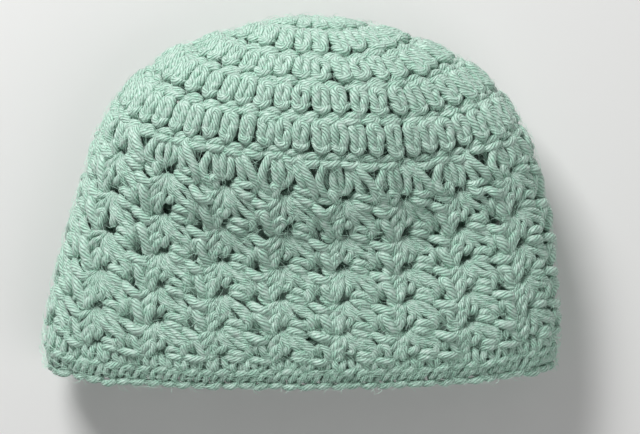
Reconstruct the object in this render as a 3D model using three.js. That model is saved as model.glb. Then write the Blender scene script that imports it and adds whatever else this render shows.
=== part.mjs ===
// A baby-size crochet hat, lying on its back, in millimetres with +Z up.
// It is worked in the round from the crown (+Y) to the open rim (-Y). The crown is rounds of
// double crochet, the body is rounds of shell stitches with an eyelet in each, and the rim is
// two rounds of single crochet. The three zones are separate closed walls of thick fabric.

import * as THREE from 'three';

// Driving dimensions
const FABRIC_THICKNESS = 5;
const SEAM_GAP = 0.3;
const ROUND_RELIEF = 0.8;
const RIB_RELIEF = 0.4;
const EDGE_ROUNDING = 1.2;
const EYELET_WIDTH = 3.8;
const EYELET_HEIGHT = 2.6;
const TABLE_PRESS = 1.2;
const YARN_COLOUR = 0x8fb8a7;

// The count of shells in a round, how far the first one sits past the front centre line,
// and the length of the fullest loop and of one round of shells
const SHELLS_ROUND = 18;
const LINES_PER_SHELL = 4;
const FIRST_SHELL_TURN = 0.003;
const LOOP_LENGTH = 420;
const SHELL_ROUND_HEIGHT = 12.5;

// Where a plain round and a round of shells are fullest and where the shells' groove lies, in
// rounds before the end
const PLAIN_FULLEST = 0.5;
const FULLEST = 0.6;
const GROOVE = 0.03;

// The zones, in rounds counted from the crown's centre
const CROWN_END = 6;
const BODY_END = 12;
const RIM_END = 14;

// The middle of the fabric at the end of each round. Front is the centre line of the upper face,
// side is where the hat turns under, and back is the centre line of the face it lies on.
// The arch columns are superellipse exponents of the upper and the lower half of the loop, and
// lean is how far the loop's middle sits towards +X. Fabric below TABLE_PRESS is pressed flat.
const COLUMNS = [
  'yFront', 'zFront', 'halfWidth', 'ySide', 'zSide', 'yBack', 'zBack', 'upperArch', 'lowerArch', 'lean',
];
const ROUNDS = [
  [134.5, 22, 0, 134.5, 22, 134.5, 22, 2, 2, 1.5],
  [133.6, 34, 9, 134, 22, 132, 10, 2, 2, 1.2],
  [128.5, 45.5, 21, 132, 22.5, 124.5, 4, 2, 2.4, 1.2],
  [118.3, 54, 36, 128, 23, 113, 2.5, 2.1, 2.8, 1.2],
  [108.8, 59.5, 51, 122, 23.5, 102, 2.5, 2.2, 3.2, 1.2],
  [96.9, 62, 64.5, 112, 24, 91, 2.5, 2.2, 3.5, 1],
  [84.6, 62, 73, 101, 24, 80, 2.5, 2.2, 3.5, 1.2],
  [69.2, 59, 78, 91, 24, 68, 2.5, 2.2, 3.5, 1.6],
  [56, 54.5, 82, 77, 24, 56.5, 2.5, 2.2, 3.5, 1.2],
  [43.6, 51.5, 85.7, 63.6, 24, 45, 2.5, 2.2, 3.5, 0.7],
  [31.8, 50, 88.5, 50, 23.5, 33.5, 2.5, 2.2, 3.5, -0.2],
  [20.6, 49, 90.7, 36.3, 23, 23, 2.5, 2.2, 3.5, -1.5],
  [10.7, 47.5, 92.2, 23, 22, 13, 2.5, 2.2, 3.5, -2.3],
  [6.2, 46, 92.7, 15, 21, 8.5, 2.5, 2.2, 3.5, -2.8],
  [1.2, 44.5, 91.7, 8, 20, 3.5, 2.5, 2.2, 3.5, -2.8],
];

// Soft dents in the upper face
const DENTS = [
  { x: 50, y: 82, halfWidth: 15, halfHeight: 28, depth: 6 },
  { x: 20, y: 52, halfWidth: 45, halfHeight: 20, depth: 4 },
];

// The upper arch is this much squarer on the -X side
const LEFT_FULLNESS = 0.6;

// The columns of shells drift towards +X on the way to the rim, by the square of the rounds past
// the start, in turns
const DRIFT = 0.0005;
const DRIFT_START = 7.5;

// The rounds slip towards the rim at the +X side and towards the crown at the -X side, by this
// share of a round, and not at the crown's centre or past the end of the slip
const SLIP = 0.4;
const SLIP_END = 13;

// How softly a loop turns back along the hat as it rounds the side, above and below
const UPPER_BEND = 1.5;
const LOWER_BEND = 2;

// Steps that measure a loop's length, loops that are measured in a round, and the step of the
// finite differences, in rounds and turns
const LOOP_STEPS = 240;
const LOOPS_A_ROUND = 40;
const NUDGE = 0.004;

// A smooth curve through one column of the table, carried on past both ends
function columnAt(index, round) {
  const last = ROUNDS.length - 1;
  const value = (i) => {
    if (i < 0) {
      return 2 * ROUNDS[0][index] - ROUNDS[-i][index];
    }
    if (i > last) {
      return 2 * ROUNDS[last][index] - ROUNDS[2 * last - i][index];
    }
    return ROUNDS[i][index];
  };
  const i = THREE.MathUtils.clamp(Math.floor(round), 0, last - 1);
  const t = round - i;
  const [a, b, c, d] = [value(i - 1), value(i), value(i + 1), value(i + 2)];
  return b + 0.5 * t * (c - a + t * (2 * a - 5 * b + 4 * c - d + t * (3 * (b - c) + d - a)));
}

function sectionAt(round) {
  return Object.fromEntries(COLUMNS.map((name, index) => [name, columnAt(index, round)]));
}

// A point of one loop: angle 0 is the front, a quarter turn the +X side, a half turn the back
function sectionPoint(section, angle) {
  const upper = Math.cos(angle) >= 0;
  const upperArch = section.upperArch + (Math.sin(angle) < 0 ? LEFT_FULLNESS : 0);
  const power = 2 / (upper ? upperArch : section.lowerArch);
  const across = Math.sign(Math.sin(angle)) * Math.abs(Math.sin(angle)) ** power;
  const along = Math.abs(Math.cos(angle)) ** power;
  const yMiddle = upper ? section.yFront : section.yBack;
  const zMiddle = upper ? section.zFront : section.zBack;
  const bend = upper ? UPPER_BEND : LOWER_BEND;
  const point = new THREE.Vector3(
    section.lean + section.halfWidth * across,
    section.ySide + (yMiddle - section.ySide) * along ** bend,
    section.zSide + (zMiddle - section.zSide) * along,
  );
  if (upper) {
    for (const dent of DENTS) {
      const away = ((point.x - dent.x) / dent.halfWidth) ** 2 + ((point.y - dent.y) / dent.halfHeight) ** 2;
      point.z -= dent.depth * Math.exp(-away / 2) * along;
    }
  }
  return point;
}

// One loop of fabric with its running length, kept because neighbouring points ask for it again
const loops = new Map();

function loopAt(step) {
  if (!loops.has(step)) {
    const section = sectionAt(step / LOOPS_A_ROUND);
    const points = [sectionPoint(section, 0)];
    const lengths = [0];
    for (let i = 1; i <= LOOP_STEPS; i += 1) {
      points.push(sectionPoint(section, (2 * Math.PI * i) / LOOP_STEPS));
      lengths.push(lengths[i - 1] + points[i].distanceTo(points[i - 1]));
    }
    loops.set(step, { points, lengths });
  }
  return loops.get(step);
}

// The point of a loop at a share of the way round it from the front centre
function loopPoint({ points, lengths }, share) {
  const wanted = share * lengths[LOOP_STEPS];
  const i = Math.max(1, lengths.findIndex((length) => length >= wanted));
  const stretch = lengths[i] - lengths[i - 1];
  const t = stretch > 0 ? (wanted - lengths[i - 1]) / stretch : 0;
  return points[i - 1].clone().lerp(points[i], t);
}

// The middle of the fabric at a turn and a round
function fabricPoint(turn, round) {
  const drifted = turn + DRIFT * Math.max(0, round - DRIFT_START) ** 2;
  const share = drifted - Math.floor(drifted);
  const slipped = SLIP * Math.sin(2 * Math.PI * turn) * Math.sin(Math.PI * Math.min(round / SLIP_END, 1));
  const place = (round + slipped) * LOOPS_A_ROUND;
  const step = Math.floor(place);
  return loopPoint(loopAt(step), share).lerp(loopPoint(loopAt(step + 1), share), place - step);
}

// The directions towards the rim and out of the fabric
function fabricFrame(turn, round) {
  const middle = Math.max(round, 3 * NUDGE);
  const difference = (turnStep, roundStep) => (
    fabricPoint(turn + turnStep, middle + roundStep)
      .sub(fabricPoint(turn - turnStep, middle - roundStep))
      .normalize()
  );
  const towardsRim = difference(0, NUDGE);
  const outwards = new THREE.Vector3().crossVectors(towardsRim, difference(NUDGE, 0)).normalize();
  return { towardsRim, outwards };
}

// A ring of a wall: where it lies, its shift along the fabric, and how proud its faces stand
function ring(round, { shift = 0, proud = 0, ribs = 0, inset = 0 } = {}) {
  return { round, shift, proud, ribs, inset };
}

// A point on the outer or the inner face. The outer face is flat where the hat lies on the table.
function facePoint(turn, { round, shift, proud, ribs, inset }, outer) {
  const { towardsRim, outwards } = fabricFrame(turn, round);
  const fromShell = 2 * Math.PI * SHELLS_ROUND * (turn - FIRST_SHELL_TURN);
  const relief = outer ? proud + ribs * Math.cos(fromShell) : 0;
  const depth = FABRIC_THICKNESS / 2 - inset + relief;
  const point = fabricPoint(turn, round);
  point.addScaledVector(outwards, outer ? depth : -depth).addScaledVector(towardsRim, shift);
  if (outer && point.z < TABLE_PRESS) {
    point.z = 0;
  }
  return point;
}

// The centre of the crown, where all points of a ring meet
function crownCentre(outer) {
  const point = fabricPoint(0, 0);
  point.y += (outer ? 1 : -1) * (FABRIC_THICKNESS / 2);
  return point;
}

// The turns at which every ring has its points: both edges of each eyelet, and the fan between
function turnsRound() {
  const pitch = 1 / SHELLS_ROUND;
  const half = EYELET_WIDTH / LOOP_LENGTH / 2;
  const fan = (pitch - 2 * half) / (LINES_PER_SHELL - 1);
  const turns = [];
  for (let shell = 0; shell < SHELLS_ROUND; shell += 1) {
    const eyelet = FIRST_SHELL_TURN + (shell + 0.5) * pitch;
    turns.push(eyelet - half);
    for (let line = 0; line < LINES_PER_SHELL - 1; line += 1) {
      turns.push(eyelet + half + fan * line);
    }
  }
  return turns;
}

// A closed wall through rings, cut through where isOpen says so. A wall with a centre closes there.
function fabricWall(rings, { hasCentre = false, isOpen = () => false } = {}) {
  const turns = turnsRound();
  const count = turns.length;
  const positions = [];
  const faces = [];
  const place = (point) => positions.push(point.x, point.y, point.z) / 3 - 1;
  const grid = [true, false].map((outer) => rings.map((item, row) => {
    if (hasCentre && row === 0) {
      return new Array(count).fill(place(crownCentre(outer)));
    }
    return turns.map((turn) => place(facePoint(turn, item, outer)));
  }));
  const corner = (side, row, step) => grid[side][row][(step + count) % count];
  const solid = (row, step) => row >= 0 && row < rings.length - 1 && !isOpen(row, (step + count) % count);
  const quad = (a, b, c, d) => {
    if (a !== b) {
      faces.push(a, b, c);
    }
    if (c !== d) {
      faces.push(a, c, d);
    }
  };
  const edge = (rowA, stepA, rowB, stepB) => quad(
    corner(0, rowA, stepA), corner(0, rowB, stepB), corner(1, rowB, stepB), corner(1, rowA, stepA),
  );
  for (let row = 0; row < rings.length - 1; row += 1) {
    for (let step = 0; step < count; step += 1) {
      if (solid(row, step)) {
        const [a, b, c, d] = [[row, step], [row + 1, step], [row + 1, step + 1], [row, step + 1]];
        quad(corner(0, ...a), corner(0, ...b), corner(0, ...c), corner(0, ...d));
        quad(corner(1, ...a), corner(1, ...d), corner(1, ...c), corner(1, ...b));
        if (!solid(row - 1, step) && !(hasCentre && row === 0)) {
          quad(corner(0, ...d), corner(1, ...d), corner(1, ...a), corner(0, ...a));
        }
        if (!solid(row + 1, step)) {
          edge(row + 1, step + 1, row + 1, step);
        }
        if (!solid(row, step - 1)) {
          edge(row + 1, step, row, step);
        }
        if (!solid(row, step + 1)) {
          edge(row, step + 1, row + 1, step + 1);
        }
      }
    }
  }
  const geometry = new THREE.BufferGeometry();
  geometry.setAttribute('position', new THREE.Float32BufferAttribute(positions, 3));
  geometry.setIndex(faces);
  geometry.computeVertexNormals();
  return geometry;
}

// Six rounds of double crochet, each a low ridge between two grooves
function crownGeometry() {
  const rings = [ring(0)];
  for (let round = 1; round <= CROWN_END; round += 1) {
    const shift = round === CROWN_END ? -SEAM_GAP / 2 : 0;
    rings.push(ring(round - PLAIN_FULLEST, { proud: ROUND_RELIEF / 2 }));
    rings.push(ring(round, { proud: -ROUND_RELIEF, shift }));
  }
  return fabricWall(rings, { hasCentre: true });
}

// Six rounds of shells: the eyelet lies on the crown side of the groove that ends its round
function bodyGeometry() {
  const eyeletRows = [];
  const rings = [ring(CROWN_END, { proud: -ROUND_RELIEF, shift: SEAM_GAP / 2 })];
  for (let round = CROWN_END + 1; round <= BODY_END; round += 1) {
    const groove = round - GROOVE;
    rings.push(ring(round - FULLEST, { proud: ROUND_RELIEF / 2, ribs: RIB_RELIEF }));
    eyeletRows.push(rings.length);
    rings.push(ring(groove - EYELET_HEIGHT / SHELL_ROUND_HEIGHT, { ribs: RIB_RELIEF }));
    rings.push(ring(groove, { proud: -ROUND_RELIEF }));
  }
  rings.push(ring(BODY_END, { proud: -ROUND_RELIEF, shift: -SEAM_GAP / 2 }));
  return fabricWall(rings, {
    isOpen: (row, step) => eyeletRows.includes(row) && step % LINES_PER_SHELL === 0,
  });
}

// Two rounds of single crochet and the rounded chain edge of the mouth
function rimGeometry() {
  return fabricWall([
    ring(BODY_END, { proud: -ROUND_RELIEF, shift: SEAM_GAP / 2 }),
    ring(BODY_END + 1 - PLAIN_FULLEST, { proud: ROUND_RELIEF / 2 }),
    ring(BODY_END + 1, { proud: -ROUND_RELIEF / 2 }),
    ring(RIM_END - PLAIN_FULLEST, { proud: ROUND_RELIEF / 2 }),
    ring(RIM_END, { inset: EDGE_ROUNDING }),
  ]);
}

function yarn(name) {
  return new THREE.MeshStandardMaterial({ name, color: YARN_COLOUR, roughness: 0.9, metalness: 0 });
}

function zone(name, geometry) {
  const mesh = new THREE.Mesh(geometry, yarn(`${name}_yarn`));
  mesh.name = name;
  return mesh;
}

const hat = new THREE.Group();
hat.name = 'crochet_hat';
hat.add(zone('crown', crownGeometry()));
hat.add(zone('shell_body', bodyGeometry()));
hat.add(zone('rim_band', rimGeometry()));

// The origin lies on the table, under the middle of the hat's box
const middle = new THREE.Box3().setFromObject(hat).getCenter(new THREE.Vector3());
hat.position.set(-middle.x, -middle.y, 0);

export default hat;
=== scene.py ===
import bpy
import numpy as np
from bpy.props import FloatProperty, FloatVectorProperty, IntProperty, PointerProperty
from bpy.types import Operator, Panel, PropertyGroup
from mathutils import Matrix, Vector


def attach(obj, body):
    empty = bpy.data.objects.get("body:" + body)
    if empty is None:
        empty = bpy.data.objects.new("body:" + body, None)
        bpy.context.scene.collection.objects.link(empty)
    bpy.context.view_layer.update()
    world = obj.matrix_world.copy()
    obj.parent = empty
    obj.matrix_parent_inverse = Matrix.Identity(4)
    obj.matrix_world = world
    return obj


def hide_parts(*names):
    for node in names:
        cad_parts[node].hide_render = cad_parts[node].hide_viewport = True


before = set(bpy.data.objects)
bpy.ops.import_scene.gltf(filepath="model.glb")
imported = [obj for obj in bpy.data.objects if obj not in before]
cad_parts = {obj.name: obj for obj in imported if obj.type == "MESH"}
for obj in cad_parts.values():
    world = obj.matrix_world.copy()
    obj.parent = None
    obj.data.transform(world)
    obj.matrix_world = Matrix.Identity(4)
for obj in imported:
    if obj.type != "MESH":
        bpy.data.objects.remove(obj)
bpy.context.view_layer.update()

bl_info = {
    "name": "Crochet Hat",
    "version": (1, 0, 0),
    "blender": (4, 5, 0),
    "location": "3D View > Sidebar > Crochet Hat",
    "description": "Lays every stitch of a baby's crochet hat as a strand of yarn on the hat's form",
    "category": "Object",
}

MM = 0.001
BODY = "root"
YARN_MATERIAL = "pale_green_yarn"
YARN_UV = "Yarn"
UP = (0.0, 0.0, 1.0)
TINY = 1e-9

# The hat's form, in millimetres, as the middle of the fabric at the crown's centre and then at the
# end of each round. Front is the centre line of the upper face, side is where the hat turns under,
# and back is the centre line of the face that it lies on. The arches are superellipse exponents.
COLUMNS = (
    "y_front", "z_front", "half_width", "y_side", "z_side", "y_back", "z_back",
    "upper_arch", "lower_arch", "lean",
)
ROUNDS = (
    (134.5, 22, 0, 134.5, 22, 134.5, 22, 2, 2, 1.5),
    (133.6, 34, 9, 134, 22, 132, 10, 2, 2, 1.2),
    (128.5, 45.5, 21, 132, 22.5, 124.5, 4, 2, 2.4, 1.2),
    (118.3, 54, 36, 128, 23, 113, 2.5, 2.1, 2.8, 1.2),
    (108.8, 59.5, 51, 122, 23.5, 102, 2.5, 2.2, 3.2, 1.2),
    (96.9, 62, 64.5, 112, 24, 91, 2.5, 2.2, 3.5, 1),
    (84.6, 62, 73, 101, 24, 80, 2.5, 2.2, 3.5, 1.2),
    (69.2, 59, 78, 91, 24, 68, 2.5, 2.2, 3.5, 1.6),
    (56, 54.5, 82, 77, 24, 56.5, 2.5, 2.2, 3.5, 1.2),
    (43.6, 51.5, 85.7, 63.6, 24, 45, 2.5, 2.2, 3.5, 0.7),
    (31.8, 50, 88.5, 50, 23.5, 33.5, 2.5, 2.2, 3.5, -0.2),
    (20.6, 49, 90.7, 36.3, 23, 23, 2.5, 2.2, 3.5, -1.5),
    (10.7, 47.5, 92.2, 23, 22, 13, 2.5, 2.2, 3.5, -2.3),
    (6.2, 46, 92.7, 15, 21, 8.5, 2.5, 2.2, 3.5, -2.8),
    (1.2, 44.5, 91.7, 8, 20, 3.5, 2.5, 2.2, 3.5, -2.8),
)

# How late a loop leaves the line of its sides, on the upper and on the lower face, as exponents
UPPER_BEND = 1.5
LOWER_BEND = 2.0

# Soft dents in the upper face, in millimetres: x, y, spread in x, spread in y, depth
DENTS = (
    (50, 82, 15, 28, 6),
    (20, 52, 45, 20, 4),
)

# The upper arch is this much squarer on the -X side. The columns of shells drift towards +X on the
# way to the rim, by the square of the rounds past the start. The rounds slip towards the rim at the
# +X side and towards the crown at the -X side, by a share of a round, and not at either end.
LEFT_FULLNESS = 0.6
DRIFT, DRIFT_START = 0.0005, 7.5
SLIP, SLIP_END = 0.4, 13

# The middle of the hat's box, in the coordinates of the sections and dents
HAT_MIDDLE = (-2.57, 69.05)

# Stitches in each round of the crown, shells in each round of the body, the turn at which a round
# of shells starts, and the rounds at which the crown and the body end
CROWN_ROUNDS = (9, 18, 27, 36, 45, 54)
SHELLS = 18
FIRST_SHELL_TURN = 0.003
CROWN_END = 6
BODY_END = 12

# How many rounds the crown's centre has, and each piece of the body
CENTRE_ROUNDS = 4
ROUNDS_A_PIECE = 2

# The grid that the form is read from, in rounds, steps a round and steps a turn, up to a margin
# before its last row. Each loop is measured at this many angles, and one that is shorter than this
# many millimetres is a point.
GRID_ROUNDS = 15
GRID_PER_ROUND = 12
GRID_TURNS = 720
GRID_MARGIN = 0.001
LOOP_ANGLES = 960
SHORTEST_LOOP = 1e-6

# Where the first crown round starts, in rounds from the centre. Then the share of a round's height
# that its stitches take up, and the share of their relief that its tops keep. The last round
# reaches over the shells.
CROWN_START = 0.3
CROWN_HEIGHT, LAST_CROWN_HEIGHT = 0.97, 1.14
CROWN_RELIEF, LAST_CROWN_RELIEF = 0.9, 1.0

# The path of the yarn through one stitch. Across is a share of the stitch's width from its middle,
# up is a share of its height from its foot towards the rim, out is in millimetres from the middle
# of the fabric, and girth is the strand's thickness as a share of the yarn's.
DOUBLE_CROCHET = (
    # the post, an arch of yarn that bends at its foot
    (-0.20, 0.80, -1.2, 0.85),
    (-0.17, 0.68, 0.8, 0.95),
    (-0.19, 0.50, 1.6, 1.10),
    (-0.24, 0.33, 1.9, 1.12),
    (-0.21, 0.17, 2.0, 1.18),
    (-0.02, 0.10, 1.9, 1.18),
    (0.20, 0.16, 2.0, 1.18),
    (0.28, 0.31, 1.9, 1.08),
    (0.20, 0.50, 1.8, 1.10),
    (0.12, 0.68, 0.8, 0.95),
    (0.05, 0.80, -1.2, 0.85),
    (-0.10, 0.55, -1.6, 0.90),
    # the strand that closes the arch on the side of the rim
    (-0.37, 0.47, -0.8, 0.80),
    (-0.30, 0.57, 1.3, 0.90),
    (-0.20, 0.68, 1.8, 0.95),
    (0.02, 0.73, 1.8, 1.00),
    (0.22, 0.66, 1.7, 0.95),
    (0.33, 0.54, 0.7, 0.85),
    (0.25, 0.55, -1.4, 0.85),
    (-0.20, 0.76, -1.5, 0.85),
)
SINGLE_CROCHET = (
    # two strands that lean together, joined behind
    (-0.30, 0.60, -1.6, 0.90),
    (-0.28, -0.10, -1.0, 0.80),
    (-0.24, 0.05, 0.6, 0.85),
    (-0.20, 0.35, 1.1, 0.92),
    (-0.14, 0.66, 1.0, 0.88),
    (-0.10, 0.88, -0.4, 0.80),
    (-0.02, 0.55, -1.7, 0.85),
    (0.30, -0.08, -1.0, 0.80),
    (0.32, 0.08, 0.6, 0.85),
    (0.26, 0.38, 1.2, 0.92),
    (0.18, 0.68, 1.1, 0.88),
    (0.12, 0.90, -0.4, 0.80),
    (0.10, 0.85, -1.5, 0.90),
)
EDGE_CROCHET = (
    # two thin strands side by side, joined behind
    (-0.30, 0.55, -1.4, 1.00),
    (-0.29, -0.14, -0.8, 0.65),
    (-0.27, -0.03, 0.8, 0.66),
    (-0.25, 0.30, 1.5, 0.70),
    (-0.25, 0.60, 1.2, 0.70),
    (-0.24, 0.76, -0.3, 0.66),
    (-0.02, 0.70, -1.3, 1.00),
    (0.21, -0.12, -0.8, 0.65),
    (0.23, -0.01, 0.8, 0.66),
    (0.25, 0.32, 1.6, 0.70),
    (0.25, 0.62, 1.2, 0.70),
    (0.26, 0.78, -0.3, 0.66),
    (0.10, 0.82, -1.0, 1.00),
)

# The top of any stitch, which lies along the round as half of a V. Across is a share of its own
# length here, and it starts and ends at these widths of a stitch from the middle of its stitch.
TOP_FROM, TOP_TO = -0.08, 1.02
TOP = (
    (0.04, 0.98, 0.3, 0.85),
    (0.25, 1.01, 1.6, 1.00),
    (0.52, 1.02, 2.0, 1.08),
    (0.80, 1.01, 1.4, 1.00),
    (0.98, 0.99, -0.2, 0.85),
    (0.84, 0.96, -1.4, 0.90),
)

# The top of a crown stitch starts with a strand that runs back along the round, beside its V
CROWN_TOP = (
    (0.85, 0.90, 0.0, 0.85),
    (0.70, 0.86, 0.9, 0.95),
    (0.40, 0.85, 1.1, 0.95),
    (0.12, 0.90, 0.2, 0.85),
) + TOP

# The two rounds of the rim: their stitch, where they start and how high they are in rounds, how far
# a post's foot is off its place one way and its head the other as a share of the stitch's width, how
# far a top slants as a share of its height, and how thick a top's yarn is as a share
RIM_STITCHES = 72
RIM_STITCH = (SINGLE_CROCHET, EDGE_CROCHET)
RIM_ROWS = ((12.0, 0.88), (12.84, 1.10))
RIM_TILTS = (0.1, 0.62)
RIM_SLANTS = (0.3, 0.14)
RIM_TOPS = (0.85, 0.8)

# One shell, in the order that its yarn runs: four double crochets round a chain. Across is in
# sixtieths of the shell's width from its middle, and down is towards the rim from its eyelet, in
# thirty-seconds of the round's height. The feet of the posts come out of the eyelet of the round
# before, near -30.
SHELL_ACROSS, SHELL_DOWN = 60, 32
LEFT_OUTER_POST = (
    (-14, 8, -1.2, 0.85),
    (-20, -6, -1.3, 0.85),
    # the strand that runs up the outside to the eyelet of the round before
    (-27, -8, 0.2, 0.85),
    (-25, -14, 1.4, 0.85),
    (-19, -19.5, 1.9, 0.85),
    (-11, -25, 1.9, 0.75),
    (-6, -29, 0.8, 0.55),
    (-4.5, -30, -0.8, 0.50),
    # the strand that comes back from there, beside the first
    (-3.5, -29, 0.6, 0.50),
    (-5.5, -25, 1.7, 0.60),
    (-10, -19, 2.0, 0.80),
    (-16, -13, 1.8, 0.85),
    (-20, -9, 0.6, 0.80),
    # the loop at its head, an arch that leans to the eyelet
    (-17, -3, -1.2, 0.80),
    (-24.5, -3, -0.6, 0.80),
    (-27, -8, 0.8, 0.95),
    (-26.8, -13.5, 1.7, 1.08),
    (-23.5, -17, 2.2, 1.18),
    (-20.5, -11.5, 2.6, 1.28),
    (-18.5, -5, 2.5, 1.28),
    (-15.5, 1, 1.8, 1.10),
    (-12, 4.5, 0.0, 0.85),
    (-16, 1, -1.2, 0.80),
    (-20, -1, -0.6, 0.85),
    (-20, 1.5, 0.6, 0.90),
    (-17.5, 4, 1.4, 1.00),
    (-14.5, 5.5, 1.2, 0.95),
    (-11, 6, -0.2, 0.80),
)
LEFT_INNER_POST = (
    (-9, 4, -1.2, 0.85),
    (-12, -4, -1.3, 0.85),
    (-14, -7, 0.2, 0.80),
    (-11.5, -13, 1.5, 0.80),
    (-7, -20, 1.9, 0.75),
    (-3, -26, 1.7, 0.55),
    (-2, -30, 0.0, 0.50),
    (-0.6, -29, 0.6, 0.50),
    (-1, -25, 1.7, 0.60),
    (-2, -19, 1.9, 0.75),
    (-3.2, -12, 1.6, 0.80),
    (-5, -7, 0.8, 0.85),
    (-10, -4, -1.0, 0.80),
    # the loop at its head, left of the eyelet
    (-10, 1, -0.9, 0.80),
    (-14, 1, 0.6, 0.90),
    (-13.5, -4, 1.6, 0.98),
    (-9.5, -10, 2.0, 1.02),
    (-5.5, -14, 1.9, 1.00),
    (-4.5, -9.5, 1.9, 0.95),
    (-7.5, -4, 2.1, 1.00),
    (-10, 2, 1.4, 0.90),
    (-8, 5, -1.2, 0.85),
)
CHAIN_STITCH = (
    (-3, 5.5, -1.2, 0.85),
    (2, 6, -1.1, 0.85),
)
RIGHT_INNER_POST = (
    (7, 3, -1.2, 0.85),
    (11, -4, -1.3, 0.85),
    (15, -7, 0.2, 0.80),
    (11, -14, 1.5, 0.80),
    (6, -21, 1.9, 0.75),
    (2.4, -27, 1.7, 0.55),
    (1.8, -30, 0.0, 0.50),
    (0.6, -29, 0.6, 0.50),
    (1, -25, 1.7, 0.60),
    (2.8, -20, 1.9, 0.78),
    (5.5, -16, 1.9, 0.90),
    (4.8, -12, 1.9, 0.95),
    (1.5, -8.5, 1.5, 0.90),
    (4, -8, -0.6, 0.85),
    (14, -6, -1.2, 0.80),
    # the loop at its head and its top, two strands that lie to the right of the eyelet
    (9, -1, -1.0, 0.80),
    (8.5, -5, 0.6, 0.85),
    (12, -6.5, 1.9, 0.95),
    (17.5, -6, 2.1, 1.02),
    (23, -3.5, 1.4, 0.98),
    (25.5, -1, 0.0, 0.85),
    (20, -1, -1.3, 0.80),
    (9, 1, -1.0, 0.80),
    (8, 0, 0.4, 0.90),
    (11, 0.5, 1.9, 1.00),
    (16, 2, 2.4, 1.06),
    (21, 4, 1.6, 1.00),
    (24, 6, 0.2, 0.85),
)
RIGHT_OUTER_POST = (
    (22, -1, -1.4, 0.85),
    (28, -6, -1.0, 0.85),
    (31, -9, 0.2, 0.85),
    (28, -14.5, 1.4, 0.85),
    (22, -20.5, 1.9, 0.85),
    (13, -26, 1.9, 0.75),
    (6, -29.5, 0.8, 0.55),
    (4.5, -30, -0.8, 0.50),
    (3.5, -29, 0.6, 0.50),
    (6, -26, 1.7, 0.60),
    (12, -20.5, 2.0, 0.80),
    (18.5, -15.5, 1.9, 0.90),
    (24, -13, 1.9, 1.02),
    (26.5, -8.5, 1.9, 1.08),
    (26, -3, 1.4, 1.00),
    (23, -1, 0.6, 0.90),
    (21.5, -5, 1.1, 0.95),
    (22, -10, 0.4, 0.85),
    (28, -2, -1.4, 0.85),
    (31, 2, -0.9, 0.90),
    # its top, a leaf that droops between two shells
    (24, 4, -1.2, 0.80),
    (24, 5, 0.4, 0.85),
    (29.5, 6.5, 2.2, 1.08),
    (36, 9.5, 3.0, 1.22),
    (42, 11.5, 2.4, 1.12),
    (47, 10.5, 0.0, 0.85),
)
# The same for the first round of shells, whose feet spread over the edge of the crown
FIRST_LEFT_OUTER_POST = (
    (-14, 8, -1.2, 0.85),
    (-24, -8, -1.3, 0.85),
    (-19, -28, -0.6, 0.85),
    (-17, -25, 1.2, 0.95),
    (-22, -19, 2.0, 1.05),
    (-25.5, -12, 2.2, 1.10),
    (-24, -6, 2.2, 1.10),
    (-19, -1, 1.6, 1.00),
    (-14, 3, 0.0, 0.85),
    (-16, 1, -1.2, 0.80),
    (-26, -4, -0.2, 0.85),
    (-26, 2, 1.0, 0.95),
    (-21, 4.5, 1.8, 1.00),
    (-15, 6, 1.4, 0.95),
    (-11, 6, -0.2, 0.80),
)
FIRST_LEFT_INNER_POST = (
    (-9, 4, -1.2, 0.85),
    (-16, -10, -0.9, 0.85),
    (-14, -27, -0.4, 0.85),
    (-12, -22, 1.2, 0.95),
    (-11.5, -13, 1.5, 0.95),
    (-8, -6, 1.5, 0.95),
    (-4, -4.5, 0.8, 0.85),
    (-3.5, -11, 1.0, 0.90),
    (-5, -18, 1.4, 0.95),
    (-6, -26, 0.4, 0.85),
    (-4, -28, -1.2, 0.80),
    (-8, -12, -1.6, 0.85),
    # the loop at its head, left of the eyelet
    (-10, 1, -0.9, 0.80),
    (-14, 0, 0.8, 0.90),
    (-13.5, -4, 1.7, 1.00),
    (-11, -5, 2.1, 1.00),
    (-9.5, -2, 2.1, 0.95),
    (-9.5, 1, 1.9, 0.95),
    (-9.5, 4, 0.6, 0.85),
    (-8, 5, -1.2, 0.85),
)
FIRST_RIGHT_INNER_POST = (
    (7, 3, -1.2, 0.85),
    (2, -28, -0.8, 0.80),
    (3, -22, 1.2, 0.92),
    (5, -15, 1.8, 0.95),
    (3, -8, 1.6, 0.95),
    (-2, -5, 0.8, 0.85),
    (2, -12, -0.8, 0.85),
    (8, -28, -0.4, 0.80),
    (9, -24, 1.2, 0.95),
    (11.5, -17, 2.0, 1.05),
    (15, -10, 2.0, 1.05),
    (16, -4, 1.4, 1.00),
    (12, -1, 0.0, 0.85),
    # the loop at its head and its top, two strands that lie to the right of the eyelet
    (9, -3, -1.0, 0.80),
    (9, -5, 0.6, 0.85),
    (13, -4.5, 1.9, 0.95),
    (19, -3.5, 2.2, 1.00),
    (26, -2.5, 1.7, 1.00),
    (30, -1.5, 0.4, 0.90),
    (20, -1, -1.3, 0.80),
    (9, 1, -1.0, 0.80),
    (8, 0, 0.4, 0.90),
    (11, 0.5, 1.9, 1.00),
    (17, 3, 2.6, 1.10),
    (23, 4, 2.2, 1.05),
    (28, 5, 0.6, 0.90),
)
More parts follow.
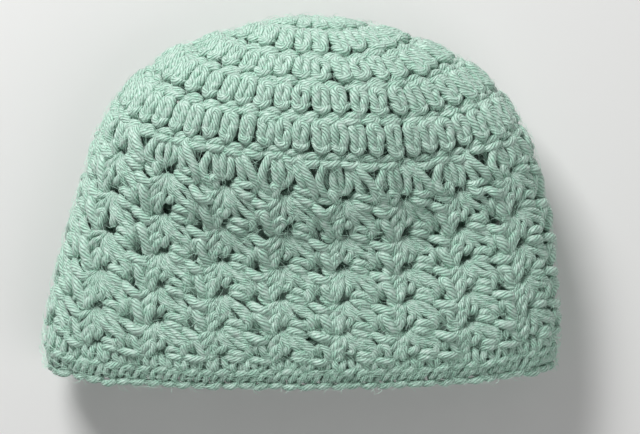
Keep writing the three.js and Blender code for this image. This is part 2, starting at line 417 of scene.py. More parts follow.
FIRST_RIGHT_OUTER_POST = (
    (22, -1, -1.4, 0.85),
    (20, -28, -0.8, 0.85),
    (14, -27, 0.8, 0.90),
    (18, -21, 2.0, 1.08),
    (24.5, -14, 2.3, 1.18),
    (29, -7, 2.2, 1.18),
    (30, -1, 1.2, 0.95),
    (26, 2, -1.0, 0.85),
    (30, -12, -0.6, 0.90),
    (33, -6, 0.2, 0.95),
    (31, 2, -0.9, 0.90),
    # its top, a leaf that droops between two shells
    (24, 4, -1.2, 0.80),
    (24, 5, 0.4, 0.85),
    (29.5, 6.5, 2.2, 1.08),
    (36, 9.5, 3.0, 1.22),
    (42, 11.5, 2.4, 1.12),
    (47, 10.5, 0.0, 0.85),
)
FIRST_SHELL = (
    FIRST_LEFT_OUTER_POST, FIRST_LEFT_INNER_POST, CHAIN_STITCH, FIRST_RIGHT_INNER_POST,
    FIRST_RIGHT_OUTER_POST,
)
SHELL = (LEFT_OUTER_POST, LEFT_INNER_POST, CHAIN_STITCH, RIGHT_INNER_POST, RIGHT_OUTER_POST)

# Where the eyelets are in a round of shells, as a share of its height. In the last round, what lies
# past the eyelets reaches only this share as far, and no strand is thicker than this.
EYELET_UP = 0.94
LAST_DROOP = 0.3
LAST_GIRTH = 0.92

# How unevenly a whole stitch is worked: its place across and up as shares of its size, its place
# outwards in millimetres, and its width as a share. In a shell, across is in its own sixtieths.
LOOSE_ACROSS, LOOSE_UP, LOOSE_OUT, LOOSE_WIDTH = 0.07, 0.04, 0.3, 0.08
LOOSE_SHELL_ACROSS = 1.5

# The same for each single point of the yarn, with its girth as a share
NUDGE_ACROSS, NUDGE_UP, NUDGE_OUT, NUDGE_GIRTH = 0.035, 0.018, 0.12, 0.03
SHELL_NUDGE_ACROSS, SHELL_NUDGE_UP, SHELL_NUDGE_OUT, SHELL_NUDGE_GIRTH = 0.8, 0.02, 0.2, 0.05

# How much fuller a round is in its middle than at its ends, in millimetres, and where a round of
# shells is fullest, as a share of its height
ROUND_PUFF = 0.3
SHELL_PUFF_AT = 0.45

# The least height of a strand's middle over the table, as a share of its radius
TABLE_PRESS = 0.92

# The loose fibres, in millimetres, but for their curl in radians. A root is this far out from the
# middle of the fabric, which is under the crests of the yarn. Fibres nearer to the table than the
# clearance are left out. A round counts as this high along them.
FIBRE_LENGTH = (3.0, 8.0)
FIBRE_LIFT = (0.8, 2.6)
FIBRE_ROOT = 2.4
FIBRE_RADIUS = 0.05
FIBRE_CURL = 0.9
FIBRE_CLEARANCE = 1.0
ROUND_HEIGHT = 12.0

# The four points of a fibre, as shares of its length and of its lift. A root's round, as a share of
# all, is the square root of a random number up to this one, so longer loops have more roots.
FIBRE_SHARES = (0, 0.33, 0.67, 1)
FIBRE_RISES = (0, 0.6, 0.95, 1)
FIBRE_REACH = 0.87

# The look of the plies. Cells are how many of a noise fit in a metre. Plies wander by a share of a
# ply, and the valleys between them are deep or shallow from patch to patch, in relief and in painted shade.
WANDER_CELLS, WANDER = 300, 1.0
PLY_ROUNDNESS = 0.8
PATCH_CELLS = 520
PATCH_LOW, PATCH_HIGH = 0.35, 0.6
SHALLOW, DEEP = 0.5, 1.0

# Fine fibres along the plies, in cells across a ply and cells a millimetre along it, and their height
STREAKS_ACROSS, STREAKS_ALONG = 5.0, 0.45
STREAK_HEIGHT = 0.5

# How brightness follows the fibres, as uneven tone and as painted highlights in streaks along the
# plies, and saturation follows the patches, each as a gain and a start
VALUE_GAIN, VALUE_START = 1.2, 0.50
SATURATION_GAIN, SATURATION_START = 1.2, 0.35

# The relief of the plies, as a strength and in millimetres, and the lustre of the yarn
BUMP_STRENGTH, BUMP_HEIGHT = 0.8, 0.45
YARN_ROUGHNESS, YARN_SPECULAR = 0.38, 0.5
SHEEN, SHEEN_ROUGHNESS = 0.35, 0.4

# The roughness of the loose fibres, and the noise that their brightness follows
FIBRE_ROUGHNESS = 0.5
FIBRE_CELLS, FIBRE_VALUE_GAIN, FIBRE_VALUE_START = 300, 0.6, 0.9

# The floor, in metres, lies just under the pressed yarn
FLOOR_HEIGHT = -0.0002
FLOOR_ROUGHNESS = 0.8

# The camera's sensor and target are in millimetres, and the target is in the coordinates of the
# sections. It looks at the target from almost straight above.
SENSOR_WIDTH = 36
CAMERA_TARGET = (4.37, 62.92, 30)
CAMERA_DIRECTION = (0, -0.02, 1)

# The name of each light, its place and size in metres, and its power
LIGHT_TARGET = (0, 0, 0.02)
WORLD_STRENGTH = 0.18
LIGHTS = (
    ("key", (-0.42, 0.82, 0.70), 0.45, 14),
    ("fill", (0.5, -0.5, 0.9), 0.9, 3.5),
)


def catmull_rom(a, b, c, d, t):
    """The smooth curve from b to c, at a share t of its way, between neighbours a and d."""
    return b + 0.5 * t * (c - a + t * (2 * a - 5 * b + 4 * c - d + t * (3 * (b - c) + d - a)))


def smooth_column(values, at):
    """A smooth curve through values at 0, 1, 2 and so on, carried on past both ends."""
    values = np.asarray(values, float)
    padded = np.concatenate([[2 * values[0] - values[1]], values, [2 * values[-1] - values[-2]]])
    i = np.clip(np.floor(at).astype(int), 0, len(values) - 2)
    return catmull_rom(*(padded[i + k] for k in range(4)), at - i)


class HatForm:
    """The middle of the fabric, read by turn (0 to 1 from the front centre) and by round."""

    def __init__(self):
        at = np.arange(GRID_ROUNDS * GRID_PER_ROUND + 1) / GRID_PER_ROUND
        table = np.array(ROUNDS, float)
        column = {name: smooth_column(table[:, k], at)[:, None] for k, name in enumerate(COLUMNS)}
        angle = np.linspace(0, 2 * np.pi, LOOP_ANGLES + 1)[None, :]
        upper = np.cos(angle) >= 0
        upper_arch = column["upper_arch"] + np.where(np.sin(angle) < 0, LEFT_FULLNESS, 0)
        power = 2 / np.where(upper, upper_arch, column["lower_arch"])
        across = np.sign(np.sin(angle)) * np.abs(np.sin(angle)) ** power
        along = np.abs(np.cos(angle)) ** power
        bend = along ** np.where(upper, UPPER_BEND, LOWER_BEND)
        y_middle = np.where(upper, column["y_front"], column["y_back"])
        z_middle = np.where(upper, column["z_front"], column["z_back"])
        x = column["lean"] + column["half_width"] * across
        y = column["y_side"] + (y_middle - column["y_side"]) * bend
        z = column["z_side"] + (z_middle - column["z_side"]) * along
        for dent_x, dent_y, spread_x, spread_y, depth in DENTS:
            away = ((x - dent_x) / spread_x) ** 2 + ((y - dent_y) / spread_y) ** 2
            z = z - np.where(upper, depth * np.exp(-away / 2) * along, 0)
        points = np.stack([x - HAT_MIDDLE[0], y - HAT_MIDDLE[1], z], axis=-1)
        steps = np.linalg.norm(np.diff(points, axis=1), axis=2)
        length = np.concatenate([np.zeros((len(at), 1)), np.cumsum(steps, axis=1)], axis=1)
        self.loop_length = length[:, -1]
        turns = np.linspace(0, 1, GRID_TURNS + 1)
        grid = np.empty((len(at), GRID_TURNS + 1, 3))
        for row, whole in enumerate(self.loop_length):
            is_point = whole < SHORTEST_LOOP
            share = np.linspace(0, 1, LOOP_ANGLES + 1) if is_point else length[row] / whole
            for axis in range(3):
                grid[row, :, axis] = np.interp(turns, share, points[row, :, axis])
        to_rim = np.gradient(grid, axis=0)
        wrapped = np.concatenate([grid[:, -2:-1], grid, grid[:, 1:2]], axis=1)
        round_way = wrapped[:, 2:] - wrapped[:, :-2]
        outward = np.cross(to_rim, round_way)
        size = np.linalg.norm(outward, axis=2, keepdims=True)
        outward = np.where(size > TINY, outward / np.maximum(size, TINY), np.array([0.0, 1.0, 0.0]))
        outward[0] = (0.0, 1.0, 0.0)
        self.grid = grid
        self.outward = outward

    def at(self, turn, round_, out):
        """Points of the hat, in millimetres of the frame."""
        slip = np.sin(2 * np.pi * turn) * np.sin(np.pi * np.clip(round_ / SLIP_END, 0, 1))
        row = np.clip((round_ + SLIP * slip) * GRID_PER_ROUND, 0, len(self.grid) - 1 - GRID_MARGIN)
        turn = turn + DRIFT * np.maximum(round_ - DRIFT_START, 0) ** 2
        col = (turn - np.floor(turn)) * GRID_TURNS
        i, j = row.astype(int), np.minimum(col.astype(int), GRID_TURNS - 1)
        u, v = (row - i)[..., None], (col - j)[..., None]
        result = []
        for table in (self.grid, self.outward):
            low = table[i, j] * (1 - v) + table[i, j + 1] * v
            high = table[i + 1, j] * (1 - v) + table[i + 1, j + 1] * v
            result.append(low * (1 - u) + high * u)
        return result[0] + result[1] * out[..., None]


FORM = HatForm()


def unit(vectors):
    """Vectors of length one, along the last axis."""
    return vectors / np.maximum(np.linalg.norm(vectors, axis=-1, keepdims=True), TINY)


def press_on_table(points, radius):
    """Strands that would sink into the table lie flat on it instead."""
    sunk = radius * TABLE_PRESS - points[:, 2]
    points[:, 2] += np.where(sunk > 0, sunk, 0)
    return points


def strand_frames(path):
    """Two directions across a closed path at each point, turned as little as possible."""
    ahead = unit(np.roll(path, -1, axis=0) - np.roll(path, 1, axis=0))
    side = np.empty_like(path)
    side[0] = unit(np.cross(ahead[0], UP))
    for k in range(1, len(path)):
        side[k] = unit(side[k - 1] - ahead[k] * (side[k - 1] @ ahead[k]))
    closing = side[-1] - ahead[0] * (side[-1] @ ahead[0])
    up = np.cross(ahead[0], side[0])
    twist = np.arctan2(closing @ up, closing @ side[0])
    angle = -twist * np.arange(len(path)) / len(path)
    up = np.cross(ahead, side)
    side = side * np.cos(angle)[:, None] + up * np.sin(angle)[:, None]
    return side, np.cross(ahead, side)


def strand_mesh(controls, radius, sides, steps):
    """A closed tube of yarn through control points (x, y, z, girth). Its UV is the way along it in
    millimetres and the way round it in turns."""
    at = np.arange(len(controls) * steps) / steps
    i = at.astype(int)
    near = (controls[(i + k) % len(controls)] for k in (-1, 0, 1, 2))
    path = catmull_rom(*near, (at % 1)[:, None])
    girth = path[:, 3] * radius
    centre = press_on_table(path[:, :3].copy(), girth)
    side, up = strand_frames(centre)
    around = np.linspace(0, 2 * np.pi, sides, endpoint=False)
    ring = side[:, None] * np.cos(around)[None, :, None] + up[:, None] * np.sin(around)[None, :, None]
    vertices = centre[:, None] + ring * girth[:, None, None]
    count = len(centre)
    rows, cols = np.meshgrid(np.arange(count), np.arange(sides), indexing="ij")
    rows_next, cols_next = (rows + 1) % count, (cols + 1) % sides
    faces = np.stack([
        rows * sides + cols, rows * sides + cols_next,
        rows_next * sides + cols_next, rows_next * sides + cols,
    ], axis=-1).reshape(-1, 4)
    gaps = np.linalg.norm(np.roll(centre, -1, axis=0) - centre, axis=1)
    length = np.concatenate([[0], np.cumsum(gaps)])
    s0, s1 = length[rows], length[rows + 1]
    v0, v1 = cols / sides, (cols + 1) / sides
    uv = np.stack([
        np.stack([s0, v0], -1), np.stack([s0, v1], -1), np.stack([s1, v1], -1), np.stack([s1, v0], -1),
    ], axis=2).reshape(-1, 2)
    return vertices.reshape(-1, 3), faces, uv


def new_object(name, data):
    """An object that shows this data in the scene."""
    made = bpy.data.objects.new(name, data)
    bpy.context.scene.collection.objects.link(made)
    return made


def yarn_piece(name, strands, yarn):
    """One mesh object of several closed strands."""
    all_vertices, all_faces, all_uv, offset = [], [], [], 0
    for controls in strands:
        vertices, faces, uv = strand_mesh(controls, yarn.thickness / MM / 2, yarn.sides, yarn.steps)
        all_vertices.append(vertices)
        all_faces.append(faces + offset)
        all_uv.append(uv)
        offset += len(vertices)
    vertices = np.concatenate(all_vertices) * MM
    faces = np.concatenate(all_faces)
    uv = np.concatenate(all_uv)
    mesh = bpy.data.meshes.new(name)
    mesh.vertices.add(len(vertices))
    mesh.vertices.foreach_set("co", vertices.astype(np.float32).ravel())
    mesh.loops.add(len(faces) * 4)
    mesh.loops.foreach_set("vertex_index", faces.astype(np.int32).ravel())
    mesh.polygons.add(len(faces))
    mesh.polygons.foreach_set("loop_start", np.arange(len(faces), dtype=np.int32) * 4)
    mesh.polygons.foreach_set("use_smooth", np.ones(len(faces), bool))
    layer = mesh.uv_layers.new(name=YARN_UV)
    layer.uv.foreach_set("vector", uv.astype(np.float32).ravel())
    mesh.update(calc_edges=True)
    mesh.validate()
    return new_object(name, mesh)


def stitch_controls(post, place, width, rows, jitter, top=TOP, tilt=0.0, relief=1.0, slant=0.0,
                    top_girth=1.0):
    """The control points of one stitch of a plain round, as turn, round, out and girth. A tilt moves
    its foot one way and its head the other, and a slant turns its top across the round."""
    start, height = rows
    across, up, out, girth = np.array(post + top, float).T
    is_top = np.arange(len(across)) >= len(post)
    rise = np.clip(up, 0, 1)
    loose = jitter.normal(0, 1, 4)
    nudge = jitter.normal(0, 1, (3, len(across)))
    foot, head = place + tilt * width, place - tilt * width
    top_from, top_to = place + TOP_FROM * width, place + TOP_TO * width
    post_turn = foot + (head - foot) * rise + across * width * (1 + LOOSE_WIDTH * loose[3])
    turn = np.where(is_top, top_from + (top_to - top_from) * across, post_turn)
    turn = turn + (nudge[0] * NUDGE_ACROSS + loose[0] * LOOSE_ACROSS * rise) * width
    up = up + np.where(is_top, slant * (0.5 - across), 0)
    girth = girth * np.where(is_top, top_girth, 1)
    out = np.where(is_top & (out > 0), out * relief, out)
    puff = ROUND_PUFF * (np.sin(np.pi * rise) - 0.5)
    return np.stack([
        turn,
        start + (up + nudge[1] * NUDGE_UP + loose[1] * LOOSE_UP * rise) * height,
        out + puff + nudge[2] * NUDGE_OUT + loose[2] * LOOSE_OUT,
        girth * (1 + nudge[0] * NUDGE_GIRTH),
    ], axis=-1)


def shell_controls(post, middle, start, droop, thickest, jitter):
    """The control points of one post of a shell, as turn, round, out and girth."""
    across, down, out, girth = np.array(post, float).T
    down = np.where(down > 0, down * droop, down)
    rise = EYELET_UP + down / SHELL_DOWN
    loose = jitter.normal(0, 1, 3)
    nudge = jitter.normal(0, 1, (3, len(across)))
    free = np.clip(rise, 0, 1)
    across = across + loose[0] * LOOSE_SHELL_ACROSS * free + nudge[0] * SHELL_NUDGE_ACROSS
    rise = rise + loose[1] * LOOSE_UP * free + nudge[1] * SHELL_NUDGE_UP
    puff = ROUND_PUFF / 2 * np.cos(2 * np.pi * (rise - SHELL_PUFF_AT))
    return np.stack([
        middle + across / SHELL_ACROSS / SHELLS,
        start + rise,
        out + puff + nudge[2] * SHELL_NUDGE_OUT + loose[2] * LOOSE_OUT,
        np.minimum(girth, thickest) * (1 + nudge[1] * SHELL_NUDGE_GIRTH),
    ], axis=-1)


def lay_on_hat(controls):
    """Control points in turns and rounds become millimetres on the hat."""
    placed = FORM.at(controls[:, 0], controls[:, 1], controls[:, 2])
    return np.concatenate([placed, controls[:, 3:4]], axis=1)


def plain_round(post, count, rows, jitter, **look):
    """One round of equal stitches, as one closed strand."""
    width = 1 / count
    return lay_on_hat(np.concatenate([
        stitch_controls(post, (k + 0.5) * width, width, rows, jitter, **look) for k in range(count)
    ]))


def crown_round(index, jitter):
    """One round of double crochet."""
    is_last = index == CROWN_END - 1
    filled = LAST_CROWN_HEIGHT if is_last else CROWN_HEIGHT
    relief = LAST_CROWN_RELIEF if is_last else CROWN_RELIEF
    start = max(index, CROWN_START)
    rows = (start, (index + 1 - start) * filled)
    return plain_round(DOUBLE_CROCHET, CROWN_ROUNDS[index], rows, jitter, top=CROWN_TOP, relief=relief)


def rim_round(index, jitter):
    """One round of single crochet."""
    return plain_round(
        RIM_STITCH[index], RIM_STITCHES, RIM_ROWS[index], jitter, tilt=RIM_TILTS[index],
        slant=RIM_SLANTS[index], top_girth=RIM_TOPS[index],
    )


def shell_round(index, jitter):
    """One round of shells, as one closed strand."""
    start = CROWN_END + index
    droop, thickest = (LAST_DROOP, LAST_GIRTH) if start == BODY_END - 1 else (1, np.inf)
    return lay_on_hat(np.concatenate([
        shell_controls(post, FIRST_SHELL_TURN + (k + 0.5) / SHELLS, start, droop, thickest, jitter)
        for k in range(SHELLS)
        for post in (FIRST_SHELL if index == 0 else SHELL)
    ]))


def fibre_mesh(yarn):
    """Loose fibres that stand off the yarn, each a thin closed spindle of four points."""
    jitter = np.random.default_rng(yarn.seed + 3)
    count = yarn.fibres
    turn = jitter.uniform(0, 1, count)
    round_ = GRID_ROUNDS * np.sqrt(jitter.uniform(0, FIBRE_REACH, count))
    aim = jitter.uniform(0, 2 * np.pi, count)
    length = jitter.uniform(*FIBRE_LENGTH, count)
    curl = jitter.normal(0, FIBRE_CURL, count)
    lift = jitter.uniform(*FIBRE_LIFT, count)
    row = np.clip(round_.astype(int), 1, GRID_ROUNDS - 1) * GRID_PER_ROUND
    points = []
    for share, rise in zip(FIBRE_SHARES, FIBRE_RISES):
        way = aim + curl * share
        around = length * share * np.cos(way) / FORM.loop_length[row]
        along = length * share * np.sin(way) / ROUND_HEIGHT
        points.append(FORM.at(turn + around, round_ + along, FIBRE_ROOT + lift * rise))
    points = np.stack(points, axis=1)
    points = points[points[:, :, 2].min(axis=1) > FIBRE_CLEARANCE]
    ahead = points[:, 3] - points[:, 0]
    side = unit(np.cross(ahead, UP))
    up = unit(np.cross(side, ahead))
    # its root, a triangle round each of its middle points, and its tip
    corners = [points[:, 0]]
    for middle in (points[:, 1], points[:, 2]):
        for angle in (0, 2 * np.pi / 3, 4 * np.pi / 3):
            corners.append(middle + FIBRE_RADIUS * (np.cos(angle) * side + np.sin(angle) * up))
    corners.append(points[:, 3])
    vertices = np.stack(corners, axis=1)
    faces = []
    for k in range(3):
        after = (k + 1) % 3
        faces += [(0, 1 + after, 1 + k), (1 + k, 1 + after, 4 + k), (1 + after, 4 + after, 4 + k)]
        faces.append((7, 4 + k, 4 + after))
    offsets = np.arange(len(vertices))[:, None, None] * vertices.shape[1]
    return vertices.reshape(-1, 3) * MM, (np.array(faces)[None] + offsets).reshape(-1, 3)


def new_material(name, roughness):
    """A material, with its nodes and its surface."""
    material = bpy.data.materials.new(name)
    material.use_nodes = True
    surface = material.node_tree.nodes["Principled BSDF"]
    surface.inputs["Roughness"].default_value = roughness
    return material, material.node_tree, surface


def fibre_material(yarn):
    """The yarn's own green on single fibres, a little uneven."""
    material, tree, surface = new_material("pale_green_fibre", FIBRE_ROUGHNESS)
    place = tree.nodes.new("ShaderNodeTexCoord").outputs["Object"]
    mottle = noise(tree, place, FIBRE_CELLS, 1)
    value = math_node(tree, "MULTIPLY_ADD", mottle, FIBRE_VALUE_GAIN, FIBRE_VALUE_START)
    shown = add_node(tree, "ShaderNodeHueSaturation", {"Color": (*yarn.colour, 1), "Value": value})
    tree.links.new(shown.outputs[0], surface.inputs["Base Color"])
    return material


def add_node(tree, kind, inputs=None, **settings):
    """A node with its settings, and its inputs as sockets to link from or as values."""
    node = tree.nodes.new(kind)
    for key, value in settings.items():
        setattr(node, key, value)
    for key, value in (inputs or {}).items():
        if isinstance(value, bpy.types.NodeSocket):
            tree.links.new(value, node.inputs[key])
        else:
            node.inputs[key].default_value = value
    return node


def math_node(tree, operation, *values):
    """What one operation makes of sockets and numbers."""
    return add_node(tree, "ShaderNodeMath", dict(enumerate(values)), operation=operation).outputs[0]


def noise(tree, place, scale, detail):
    """Soft noise from 0 to 1 at a place."""
    settings = {"Vector": place, "Scale": scale, "Detail": detail}
    return add_node(tree, "ShaderNodeTexNoise", settings).outputs["Fac"]


def ply_twist_group():
    """Twisted plies round a strand: their height, the valleys between them as a mask of painted shade, and
    two kinds of mottling, the fibres' one also painting highlights.
    """
    group = bpy.data.node_groups.new("ply_twist", "ShaderNodeTree")
    face = group.interface
    for name in ("Along", "Around", "Plies", "Ply Length"):
        face.new_socket(name=name, in_out="INPUT", socket_type="NodeSocketFloat")
    face.new_socket(name="Place", in_out="INPUT", socket_type="NodeSocketVector")
    for name in ("Height", "Valley Shade", "Fibre And Highlight", "Patch"):
        face.new_socket(name=name, in_out="OUTPUT", socket_type="NodeSocketFloat")
    given = group.nodes.new("NodeGroupInput").outputs
    result = group.nodes.new("NodeGroupOutput").inputs
    along = math_node(group, "DIVIDE", given["Along"], given["Ply Length"])
    phase = math_node(group, "MULTIPLY_ADD", given["Around"], given["Plies"], along)
    wander = noise(group, given["Place"], WANDER_CELLS, 1)
    phase = math_node(group, "MULTIPLY_ADD", wander, WANDER, phase)
    wave = math_node(group, "SINE", math_node(group, "MULTIPLY", phase, np.pi))
    hill = math_node(group, "POWER", math_node(group, "ABSOLUTE", wave), PLY_ROUNDNESS)
    patch = noise(group, given["Place"], PATCH_CELLS, 2)
    depth = add_node(group, "ShaderNodeMapRange", {
        "Value": patch, "From Min": PATCH_LOW, "From Max": PATCH_HIGH, "To Min": SHALLOW, "To Max": DEEP,
    }).outputs[0]
    across = math_node(group, "MULTIPLY", phase, STREAKS_ACROSS)
    run = math_node(group, "MULTIPLY", given["Along"], STREAKS_ALONG)
    streak = add_node(group, "ShaderNodeCombineXYZ", {0: across, 1: run}).outputs[0]
    # Fine streaks along the plies: relief, and also uneven tone and painted highlights in the colour
    fibre_and_highlight = noise(group, streak, 1.0, 2)
    relief = math_node(group, "MULTIPLY", fibre_and_highlight, STREAK_HEIGHT)
    # The valleys between the plies, a mask of painted shade: the colour darkens there as if shade fell
    # between them
    valley_shade_mask = math_node(group, "SUBTRACT", 1.0, hill)
    group.links.new(math_node(group, "MULTIPLY_ADD", hill, depth, relief), result["Height"])
    group.links.new(math_node(group, "MULTIPLY", valley_shade_mask, depth), result["Valley Shade"])
    group.links.new(fibre_and_highlight, result["Fibre And Highlight"])
    group.links.new(patch, result["Patch"])
    return group


def yarn_material(yarn):
    """Pale green twisted yarn with a soft lustre."""
    material, tree, surface = new_material(YARN_MATERIAL, YARN_ROUGHNESS)
    uv = add_node(tree, "ShaderNodeUVMap", uv_map=YARN_UV).outputs[0]
    place = add_node(tree, "ShaderNodeSeparateXYZ", {0: uv})
    twist = add_node(tree, "ShaderNodeGroup", node_tree=ply_twist_group())
    tree.links.new(place.outputs[0], twist.inputs["Along"])
    tree.links.new(place.outputs[1], twist.inputs["Around"])
    tree.links.new(tree.nodes.new("ShaderNodeTexCoord").outputs["Object"], twist.inputs["Place"])
    twist.inputs["Plies"].default_value = yarn.plies
    twist.inputs["Ply Length"].default_value = yarn.ply_length / MM
    # Painted shade: the yarn's colour darkens towards the valley colour in the valleys between the plies
    valley_shade_mix = add_node(tree, "ShaderNodeMix", data_type="RGBA")
    tree.links.new(twist.outputs["Valley Shade"], valley_shade_mix.inputs["Factor"])
    colours = [socket for socket in valley_shade_mix.inputs if socket.type == "RGBA"]
    colours[0].default_value = (*yarn.colour, 1)
    colours[1].default_value = (*yarn.painted_valley_shade, 1)
    mixed = next(socket for socket in valley_shade_mix.outputs if socket.type == "RGBA")
    # Brightness follows the fibre streaks: uneven tone, and painted highlights along the plies
    value = math_node(tree, "MULTIPLY_ADD", twist.outputs["Fibre And Highlight"], VALUE_GAIN, VALUE_START)
    saturation = math_node(
        tree, "MULTIPLY_ADD", twist.outputs["Patch"], SATURATION_GAIN, SATURATION_START,
    )
    shown = add_node(tree, "ShaderNodeHueSaturation", {
        "Color": mixed, "Value": value, "Saturation": saturation,
    })
    tree.links.new(shown.outputs[0], surface.inputs["Base Color"])
    bump = add_node(tree, "ShaderNodeBump", {
        "Height": twist.outputs["Height"], "Strength": BUMP_STRENGTH, "Distance": BUMP_HEIGHT * MM,
    })
    tree.links.new(bump.outputs[0], surface.inputs["Normal"])
    surface.inputs["Specular IOR Level"].default_value = YARN_SPECULAR
    surface.inputs["Sheen Weight"].default_value = SHEEN
    surface.inputs["Sheen Roughness"].default_value = SHEEN_ROUGHNESS
    return material


def finish_piece(piece, material, *nodes):
    """Gives a piece its yarn and its body, and hides the parts of the form that it stands for."""
    piece.data.materials.append(material)
    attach(piece, BODY)
    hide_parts(*nodes)


def yarn_for(context):
    """The yarn's settings and its one material."""
    yarn = context.scene.hat_yarn
    return yarn, bpy.data.materials.get(YARN_MATERIAL) or yarn_material(yarn)


class HAT_PG_yarn(PropertyGroup):
    """The yarn that the hat is made of."""

    thickness: FloatProperty(
        name="Thickness", description="Diameter of the yarn as it lies in a stitch",
        default=3.1 * MM, unit="LENGTH",
    )
    ply_length: FloatProperty(
        name="Ply length", description="Length of yarn from one ply to the next on its surface",
        default=1.6 * MM, unit="LENGTH",
    )
    plies: IntProperty(name="Plies", description="Twisted ridges round the yarn", default=7)
    sides: IntProperty(name="Sides", description="Faces round a strand", default=8)
    steps: IntProperty(name="Steps", description="Rings of faces between two points of a stitch", default=2)
    fibres: IntProperty(name="Fibres", description="Loose fibres that stand off the yarn", default=10000)
    seed: IntProperty(name="Seed", description="Start of the small unevenness of the stitches", default=7)
    colour: FloatVectorProperty(
        name="Colour", description="Colour of the crests of the plies", subtype="COLOR",
        default=(0.45, 0.67, 0.558),
    )
    # Painted shade: the colour that the valleys between the plies darken to, standing in for the shade that
    # falls there
    painted_valley_shade: FloatVectorProperty(
        name="Shade", description="Colour in the valleys between plies", subtype="COLOR",
        default=(0.165, 0.265, 0.215),
    )


class HAT_PG_stage(PropertyGroup):
    """The camera, the lights and the floor."""

    camera_distance: FloatProperty(
        name="Camera distance", description="From the middle of the hat", default=0.9, unit="LENGTH",
    )
    view_width: FloatProperty(
        name="View width", description="Width of the picture at the hat", default=0.2368, unit="LENGTH",
    )
    floor_size: FloatProperty(name="Floor size", description="Side of the floor", default=6.0, unit="LENGTH")
    floor_colour: FloatVectorProperty(
        name="Floor colour", description="Plain pale floor", subtype="COLOR", default=(0.78, 0.78, 0.77),
    )


class HAT_OT_crown(Operator):
    """Works the six rounds of double crochet that close the crown"""

    bl_idname = "hat.crown"
    bl_label = "Crown"

    def execute(self, context):
        yarn, material = yarn_for(context)
        jitter = np.random.default_rng(yarn.seed)
        strands = [crown_round(index, jitter) for index in range(len(CROWN_ROUNDS))]
        centre, edge = strands[:CENTRE_ROUNDS], strands[CENTRE_ROUNDS:]
        for name, share in (("crown_centre", centre), ("crown_edge", edge)):
            finish_piece(yarn_piece(name, share, yarn), material, "crown")
        return {"FINISHED"}


class HAT_OT_body(Operator):
    """Works the six rounds of shells, two rounds to a piece"""

    bl_idname = "hat.body"
    bl_label = "Shell rounds"

    def execute(self, context):
        yarn, material = yarn_for(context)
        jitter = np.random.default_rng(yarn.seed + 1)
        for index, name in enumerate(("upper_shells", "middle_shells", "lower_shells")):
            first = index * ROUNDS_A_PIECE
            strands = [shell_round(first + k, jitter) for k in range(ROUNDS_A_PIECE)]
            finish_piece(yarn_piece(name, strands, yarn), material, "shell_body")
        return {"FINISHED"}


class HAT_OT_rim(Operator):
    """Works the two rounds of single crochet at the mouth"""

    bl_idname = "hat.rim"
    bl_label = "Rim"

    def execute(self, context):
        yarn, material = yarn_for(context)
        jitter = np.random.default_rng(yarn.seed + 2)
        strands = [rim_round(index, jitter) for index in range(len(RIM_STITCH))]
        finish_piece(yarn_piece("rim_stitches", strands, yarn), material, "rim_band")
        return {"FINISHED"}


class HAT_OT_fibres(Operator):
    """Brushes up the loose fibres that stand off the yarn"""

    bl_idname = "hat.fibres"
    bl_label = "Loose fibres"

    def execute(self, context):
        yarn = context.scene.hat_yarn
        vertices, faces = fibre_mesh(yarn)
        mesh = bpy.data.meshes.new("loose_fibres")
        mesh.from_pydata(vertices.tolist(), [], faces.tolist())
        mesh.validate()
        mesh.materials.append(fibre_material(yarn))
        piece = new_object("loose_fibres", mesh)
        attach(piece, BODY)
        return {"FINISHED"}


def turn_to(item, place, target):
    """Puts a light or a camera at a place and turns it to a target."""
    item.location = place
    item.rotation_euler = (Vector(target) - Vector(place)).to_track_quat("-Z", "Y").to_euler()


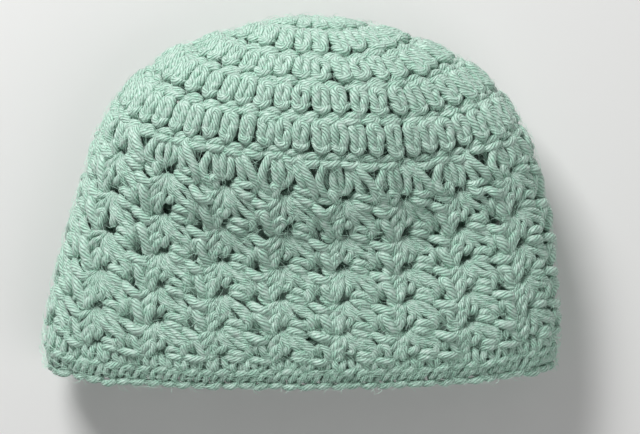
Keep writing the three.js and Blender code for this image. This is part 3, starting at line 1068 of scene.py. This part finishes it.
class HAT_OT_stage(Operator):
    """Sets the floor, the soft studio light and the camera above the hat"""

    bl_idname = "hat.stage"
    bl_label = "Stage"

    def execute(self, context):
        stage = context.scene.hat_stage
        if context.selected_objects:
            bpy.ops.object.select_all(action="DESELECT")
        bpy.ops.mesh.primitive_plane_add(size=stage.floor_size, location=(0, 0, FLOOR_HEIGHT))
        floor = context.object
        floor.name = "floor"
        floor.data.name = "floor"
        material, _, surface = new_material("pale_floor", FLOOR_ROUGHNESS)
        surface.inputs["Base Color"].default_value = (*stage.floor_colour, 1)
        floor.data.materials.append(material)

        camera = bpy.data.cameras.new("camera")
        camera.sensor_width = SENSOR_WIDTH
        camera.lens = SENSOR_WIDTH * stage.camera_distance / stage.view_width
        context.scene.camera = new_object("camera", camera)
        target = (Vector(CAMERA_TARGET) - Vector((*HAT_MIDDLE, 0))) * MM
        away = Vector(CAMERA_DIRECTION).normalized() * stage.camera_distance
        turn_to(context.scene.camera, target + away, target)

        for name, place, size, power in LIGHTS:
            light = bpy.data.lights.new(name, "AREA")
            light.size = size
            light.energy = power
            turn_to(new_object(name, light), place, LIGHT_TARGET)
        world = bpy.data.worlds.new("studio")
        world.use_nodes = True
        background = world.node_tree.nodes["Background"]
        background.inputs["Color"].default_value = (1, 1, 1, 1)
        background.inputs["Strength"].default_value = WORLD_STRENGTH
        context.scene.world = world
        context.scene.view_settings.view_transform = "Standard"
        return {"FINISHED"}


class HAT_PT_panel(Panel):
    """Lists the steps that make the hat"""

    bl_idname = "HAT_PT_panel"
    bl_label = "Crochet Hat"
    bl_space_type = "VIEW_3D"
    bl_region_type = "UI"
    bl_category = "Crochet Hat"

    def draw(self, context):
        layout = self.layout
        for step in STEPS:
            layout.operator(step.bl_idname)
        for settings in (context.scene.hat_yarn, context.scene.hat_stage):
            box = layout.box()
            for name in settings.bl_rna.properties.keys():
                if name not in ("rna_type", "name"):
                    box.prop(settings, name)


STEPS = (HAT_OT_stage, HAT_OT_crown, HAT_OT_body, HAT_OT_rim, HAT_OT_fibres)
CLASSES = (HAT_PG_yarn, HAT_PG_stage, *STEPS, HAT_PT_panel)


def register():
    for item in CLASSES:
        bpy.utils.register_class(item)
    bpy.types.Scene.hat_yarn = PointerProperty(type=HAT_PG_yarn)
    bpy.types.Scene.hat_stage = PointerProperty(type=HAT_PG_stage)


def unregister():
    del bpy.types.Scene.hat_stage
    del bpy.types.Scene.hat_yarn
    for item in reversed(CLASSES):
        bpy.utils.unregister_class(item)


def main():
    register()
    bpy.ops.hat.stage()
    bpy.ops.hat.crown()
    bpy.ops.hat.body()
    bpy.ops.hat.rim()
    bpy.ops.hat.fibres()


if __name__ == "__main__":
    main()
